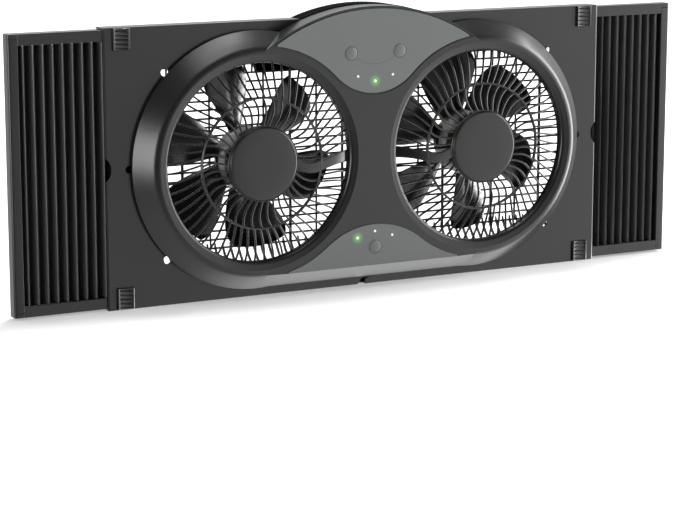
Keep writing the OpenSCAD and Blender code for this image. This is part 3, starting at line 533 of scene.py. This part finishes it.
def ease_sides(bm):
    """A narrow chamfer along both side edges of the panel's front, which catches the light from the side."""
    edge = max(vert.co.x for vert in bm.verts)
    for side in (-1, 1):
        cut_across(bm, side * (edge - CHAMFER_WIDE * MM))
    front = (FACE_Y + 0.05) * MM
    eased = [vert for vert in bm.verts if abs(vert.co.x) > edge - 0.01 * MM and vert.co.y < front]
    for vert in eased:
        vert.co.y += CHAMFER_DEEP * MM
    bm.normal_update()
    print(len(eased), "corners of the panel's front eased at", round(edge / MM, 2), "mm")


def sink_slope_ends(bm):
    """Lets the sharp top edge of the lower slope fade into the round edge of each surround. The edge is cut a little
    way in from both ends, and its end corners sink to the round surface."""
    for side in (-1, 1):
        cut_across(bm, side * SLOPE_CUT_X * MM)
    for vert in bm.verts:
        x, y, z = vert.co / MM
        if abs(abs(x) - SLOPE_END_X) < 0.1 and y < SLOPE_END_Y and abs(z - SLOPE_END_Z) < 0.2:
            vert.co.y += SLOPE_SINK * MM
            print("sunk corner at", round(x, 1), round(z, 1))


CONTROL_PANELS = ["top_control_panel", "bottom_control_panel"]
FRAME_PARTS = [f"{side}_{part}" for side in ("left", "right")
               for part in ("stile", "stile_caps", "top_rail", "bottom_rail")]
moulded("front_panel", 0.3, angle=22, change=ease_sides)
moulded("carry_handle", 0.6, finish="handle_plastic")
moulded("front_bezel", 0.45, angle=42, change=sink_slope_ends)
for node in CONTROL_PANELS:
    moulded(node, 0.45)
for node in FRAME_PARTS:
    moulded(node, 0.6)

# %% [markdown]
# A rib of the grille is a rounded bar that runs from the rim to the thin ring and bends on the way, on the face of a
# dome. One formula gives the middle of the rib at each radius, and a second one the bar's section round it.
# All the ribs are made at once, because numpy can carry the rib number as one more axis.

# %% Grilles
HUB_Y = -45.0
LIP_R = 114
DOME_R = [40, 60, 75, 90, 100, 110, LIP_R + 3.4]
DOME_Y = np.array([3, 2.6, 3.6, 6, 8.6, 12, 15.6]) + HUB_Y
RIB_W, RIB_D = 2.2, 3.4
OUTER_RIBS, INNER_RIBS = 60, 40
STRUT_W = 11.6


def dome(radius):
    """Depth of the dome's front at a radius, through the measured points with a smooth curve."""
    smooth_r = np.linspace(38, 122, 29)
    raw = np.interp(smooth_r, DOME_R, DOME_Y)
    eased = np.convolve(np.pad(raw, 2, mode="reflect", reflect_type="odd"), np.ones(5) / 5, "valid")
    return np.interp(radius, smooth_r, eased)


def loop(count, squareness):
    """A closed rounded section: a superellipse, cos and sin taken to the power of 2 / squareness."""
    turn = np.linspace(0, 2 * np.pi, count, endpoint=False)
    power = 2 / squareness
    return [np.sign(wave) * np.abs(wave) ** power for wave in (np.cos(turn), np.sin(turn))]


def on_fan(side, radius, clock, depth):
    """Point at a radius and a clock angle in degrees, on the left fan (-1) or its mirror image on the right (1)."""
    turn = np.radians(clock)
    x = side * (FAN_X / MM - radius * np.sin(turn))
    return np.stack([x, depth + 0 * x, FAN_Z / MM + radius * np.cos(turn)], -1)


def ribs(side, radii, clock, starts, width, squareness=2.3, section=12):
    """Bars along the radii, turned by clock(radius) from each start angle. The bar's side points square to its run
    in the grille's plane, and its depth points along Y."""
    starts = np.atleast_1d(starts)[:, None]
    middle = on_fan(side, radii[None, :], starts + clock(radii)[None, :], dome(radii)[None, :] + RIB_D / 2)
    run = np.gradient(middle, axis=1)
    across = np.stack([run[..., 2], 0 * run[..., 0], -run[..., 0]], -1)
    across /= np.linalg.norm(across, axis=-1, keepdims=True)
    wide, deep = loop(section, squareness)
    points = middle[:, :, None] + across[:, :, None] * (wide * width / 2)[:, None]
    points = points + np.array([0, 1, 0]) * (deep * RIB_D / 2)[:, None]
    return [grid(bar, wrap_columns=True, caps=True) for bar in points]


def ring(side, radius, depth, width, thickness, section=10, around=160, squareness=3.2):
    """A closed ring of rounded section about a fan's axis."""
    wide, deep = loop(section, squareness)
    clock = np.linspace(0, 360, around, endpoint=False)[:, None]
    points = on_fan(side, radius + wide * width / 2, clock, depth + deep * thickness / 2)
    return grid(points, wrap_rows=True, wrap_columns=True)


def turned(side, profile, around=160):
    """A closed profile of (radius, depth) points turned about a fan's axis."""
    radius, depth = np.array(profile, float).T
    clock = np.linspace(0, 360, around, endpoint=False)[:, None]
    return grid(on_fan(side, radius, clock, depth), wrap_rows=True, wrap_columns=True)


def outer_turn(radius):
    """How far an outer rib has turned at a radius, in degrees: it grows as the square of the way in from the rim."""
    return 4.8 * ((118 - radius) / 40) ** 2


def inner_turn(radius):
    """The same for an inner rib, which bends to both sides of its middle."""
    return -3.7 * ((radius - 59) / 15.75) ** 2


outer_r = np.linspace(74.5, LIP_R + 2.4, 14)
inner_r = np.linspace(42.5, 76, 12)
for side, name in ((-1, "left"), (1, "right")):
    outer_starts = 93 + np.arange(OUTER_RIBS) * 360 / OUTER_RIBS
    inner_starts = 94.3 + np.arange(INNER_RIBS) * 360 / INNER_RIBS
    parts = ribs(side, outer_r, outer_turn, outer_starts, RIB_W)
    parts += ribs(side, inner_r, inner_turn, inner_starts, RIB_W)
    parts += ribs(side, outer_r, outer_turn, 90, STRUT_W, squareness=8, section=16)
    parts += ribs(side, inner_r, inner_turn, 99, STRUT_W, squareness=8, section=16)
    parts.append(ring(side, 75, HUB_Y + 5.4, 2.8, 4.0))
    parts.append(ring(side, LIP_R + 1.9, HUB_Y + 17.3, 3.4, 4.2))
    parts.append(turned(side, [(43.9, HUB_Y + 6.4), (43.9, HUB_Y + 2.5), (43.6, HUB_Y + 2.1), (43.1, HUB_Y + 2),
                               (42.6, HUB_Y + 2.2), (42.4, HUB_Y + 4.4), (6, HUB_Y + 4.4), (6, HUB_Y + 6.4)]))
    build(name + "_grille_ribs", parts, "rib_plastic", "housing", [name + "_front_grille"])

# %% [markdown]
# The hub cap is a plain disc with a rounded edge, which a lathe would turn. So it is made as one: half of its section
# is turned about the fan's axis, and only the edge needs many points.

# %% Hub caps
def arc_points(centre, radius, first, last, count):
    """Points along an arc of a profile; angles in degrees, with 0 along the radius and 90 towards +Y."""
    turn = np.radians(np.linspace(first, last, count))
    return [(centre[0] + radius * np.cos(a), centre[1] + radius * np.sin(a)) for a in turn]


HUB_R = 42.3
CAP_EDGE = 2.6
for side, name in ((-1, "left"), (1, "right")):
    profile = [(0.01, HUB_Y), (HUB_R * 0.5, HUB_Y)]
    profile += arc_points((HUB_R - CAP_EDGE, HUB_Y + CAP_EDGE), CAP_EDGE, -90, 0, 8)
    profile += [(HUB_R, HUB_Y + 4.3), (HUB_R - 1.8, HUB_Y + 4.3), (HUB_R - 1.8, HUB_Y + 3), (0.01, HUB_Y + 3)]
    build(name + "_cap", [turned(side, profile)], "charcoal_plastic", "housing", [name + "_hub_cap"])

# %% [markdown]
# An impeller blade is a thin cambered sheet that widens and flattens from the hub to its tip. It is one surface of
# two parameters, the way along the blade and the way round its section, and the section thins to a soft edge on
# both sides, as a moulded blade does. Its skin is shiny, so that the white room shows along its curled edges. The
# blades bulge towards the room, where the CAD blades bulge away from it by less, and the right impeller rests ten
# degrees further round than in the CAD.

# %% Impellers
BLADES = 6
BLADE_PHASE = {-1: 38, 1: 16}
BLADE_ROOT, BLADE_TIP = 27, 108
BLADE_Y, BLADE_SWEEP, BLADE_CAMBER, BLADE_T = 18, 7, -7, 2.0
CHORD_ROOT, CHORD_GAIN, CHORD_ROUNDING = 22, 62, 22
PITCH_ROOT, PITCH_FALL = 36, 17
BLADE_LEAD = 10


def blade(side, number):
    """s runs from root to tip, and turn round the section, whose thickness is a power of its sine. The chord grows
    and the pitch falls with s, and the camber is a parabola across the chord."""
    s = np.linspace(0, 1, 22)[:, None]
    turn = np.linspace(0, 2 * np.pi, 44, endpoint=False)
    chordwise = -np.cos(turn) / 2
    half = np.sign(np.sin(turn)) * np.abs(np.sin(turn)) ** 0.6 * BLADE_T / 2
    radius = BLADE_ROOT + s * (BLADE_TIP - BLADE_ROOT)
    chord = CHORD_ROOT + CHORD_GAIN * s * (1.25 - 0.25 * s) - CHORD_ROUNDING * s**8
    pitch = np.radians(PITCH_ROOT - PITCH_FALL * s)
    along = chordwise * chord + BLADE_LEAD * s * s
    angle = np.degrees(along * np.cos(pitch) / radius) + BLADE_PHASE[side] + number * 360 / BLADES
    depth = BLADE_Y + BLADE_SWEEP * (1 - s) ** 2 - chordwise * chord * np.sin(pitch)
    depth = depth + BLADE_CAMBER * (1 - 4 * chordwise**2) + BLADE_T / 2 + half
    return grid(on_fan(side, radius + 0 * angle, 90 - angle, depth), wrap_columns=True, caps=True)


CUP = [(30, 11.2), (30, 25.5), (28.5, 27), (4.1, 27), (4.1, 10), (8, 10), (8, 24.6), (27.8, 24.6), (27.8, 10),
       (29, 10)]
for side, name in ((-1, "left"), (1, "right")):
    parts = [blade(side, k) for k in range(BLADES)] + [turned(side, CUP, around=96)]
    build(name + "_impeller_moulded", parts, "blade_plastic", name + "_fan", [name + "_impeller"])

# %% [markdown]
# The curtains that close the gap beside the housing are pleated vinyl. Seen from above, the sheet is a zigzag with
# small round folds. A triangle wave with its peaks eased gives that line, and the sheet is drawn down along Z.

# %% Pleated curtains
PLEAT_IN, PLEAT_OUT = 284.25, 421.2
PLEATS = 12
PLEAT_FRONT, PLEAT_BACK = -7.7, 3.6
PLEAT_T = 0.8
PLEAT_LOW, PLEAT_HIGH = 15.3, 302.7
WOBBLE = 0.15


def pleat_line(share):
    """Depth of the sheet at a share of its width: arcsin(0.985 sin) is a triangle wave with round peaks."""
    wave = np.arcsin(0.985 * np.cos(2 * np.pi * PLEATS * share)) / np.arcsin(0.985)
    return (PLEAT_FRONT + PLEAT_BACK) / 2 + wave * (PLEAT_BACK - PLEAT_FRONT) / 2


for side, name in ((-1, "left"), (1, "right")):
    share = np.linspace(0, 1, PLEATS * 24 + 1)
    line = np.stack([side * (PLEAT_IN + share * (PLEAT_OUT - PLEAT_IN)), pleat_line(share)], -1)
    run = np.gradient(line, axis=0)
    normal = np.stack([-run[:, 1], run[:, 0]], -1)
    normal /= np.linalg.norm(normal, axis=1, keepdims=True)
    around = np.concatenate([line + normal * PLEAT_T / 2, (line - normal * PLEAT_T / 2)[::-1]])
    height = np.linspace(PLEAT_LOW, PLEAT_HIGH, 24)
    both_faces = np.concatenate([share, share[::-1]])
    wobble = WOBBLE * np.sin(height / 47 + 1.3 * side)[:, None] * np.sin(np.pi * both_faces)
    x = around[:, 0] + wobble
    points = np.stack([x, around[:, 1] + 0 * x, height[:, None] + 0 * x], -1)
    curtain = build(name + "_curtain", [grid(points, wrap_columns=True, caps=True)], "curtain_vinyl", "housing",
                    [name + "_pleats"], angle=60)
    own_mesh(curtain)

# %% [markdown]
# Each corner has a sliding lock with a ribbed thumb grip between two raised beads. The grip is a height field: the
# distance that the face stands out is a formula of the place on it.

# %% Locks
LOCK_W, LOCK_H, LOCK_D = 20, 25, 3
LOCK_FLOOR, RIB_OUT = 1.4, 0.9
LOCK_BACK = FACE_Y - 0.25
LOCK_PITCH = 4.8


def lock_height(u, v):
    """How far the grip stands out at u across and v up, in millimetres from its middle: five round ribs, a bead
    like a small roof at each side, and a floor between them."""
    ribs_out = LOCK_FLOOR + RIB_OUT * np.abs(np.cos(np.pi * (v - LOCK_PITCH / 2) / LOCK_PITCH)) ** 0.7
    bead = 1 - 0.22 * np.abs(np.abs(u) - (LOCK_W / 2 - 1.2))
    edge = np.clip((LOCK_H / 2 - np.abs(v)) / 0.8, 0, 1)
    inside = np.abs(u) < LOCK_W / 2 - 2.3
    return np.where(inside, ribs_out * edge ** 0.5, np.maximum(LOCK_FLOOR, LOCK_D * bead) * edge ** 0.25)


def lock_grip(x, z):
    """The height field over a flat back, and the stem through the panel. The border repeats the outer lines of the
    grid with no height, which makes the grip's sides."""
    half_w, half_h = LOCK_W / 2, LOCK_H / 2
    u = np.concatenate([[-half_w], np.linspace(-half_w, -half_w + 2.2, 9), [-half_w + 2.4, half_w - 2.4],
                        np.linspace(half_w - 2.2, half_w, 9), [half_w]])
    v = np.concatenate([[-half_h], np.linspace(-half_h, half_h, 81), [half_h]])
    v_grid, u_grid = np.meshgrid(v, u, indexing="ij")
    out = lock_height(u_grid, v_grid)
    border = np.zeros_like(out, bool)
    border[[0, -1]] = border[:, [0, -1]] = True
    front = np.stack([x + u_grid, LOCK_BACK - np.where(border, 0, out), z + v_grid], -1)
    back = np.stack([x + u_grid, LOCK_BACK + 0 * out, z + v_grid], -1)
    stem = [(x - 4.1, z - 1.3), (x + 4.1, z - 1.3), (x + 4.1, z + 1.3), (x - 4.1, z + 1.3)]
    rod = np.array([[(px, y, pz) for px, pz in stem] for y in (LOCK_BACK - 0.2, FACE_Y + 1.8)])
    return [grid(front), grid(back), grid(rod, wrap_columns=True, caps=True)]


for node in ("top_left_lock", "top_right_lock", "bottom_left_lock", "bottom_right_lock"):
    low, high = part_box(node)
    middle = (low + high) / 2 / MM
    build(node + "_grip", lock_grip(middle.x, middle.z), "charcoal_plastic", node, [node], angle=40)
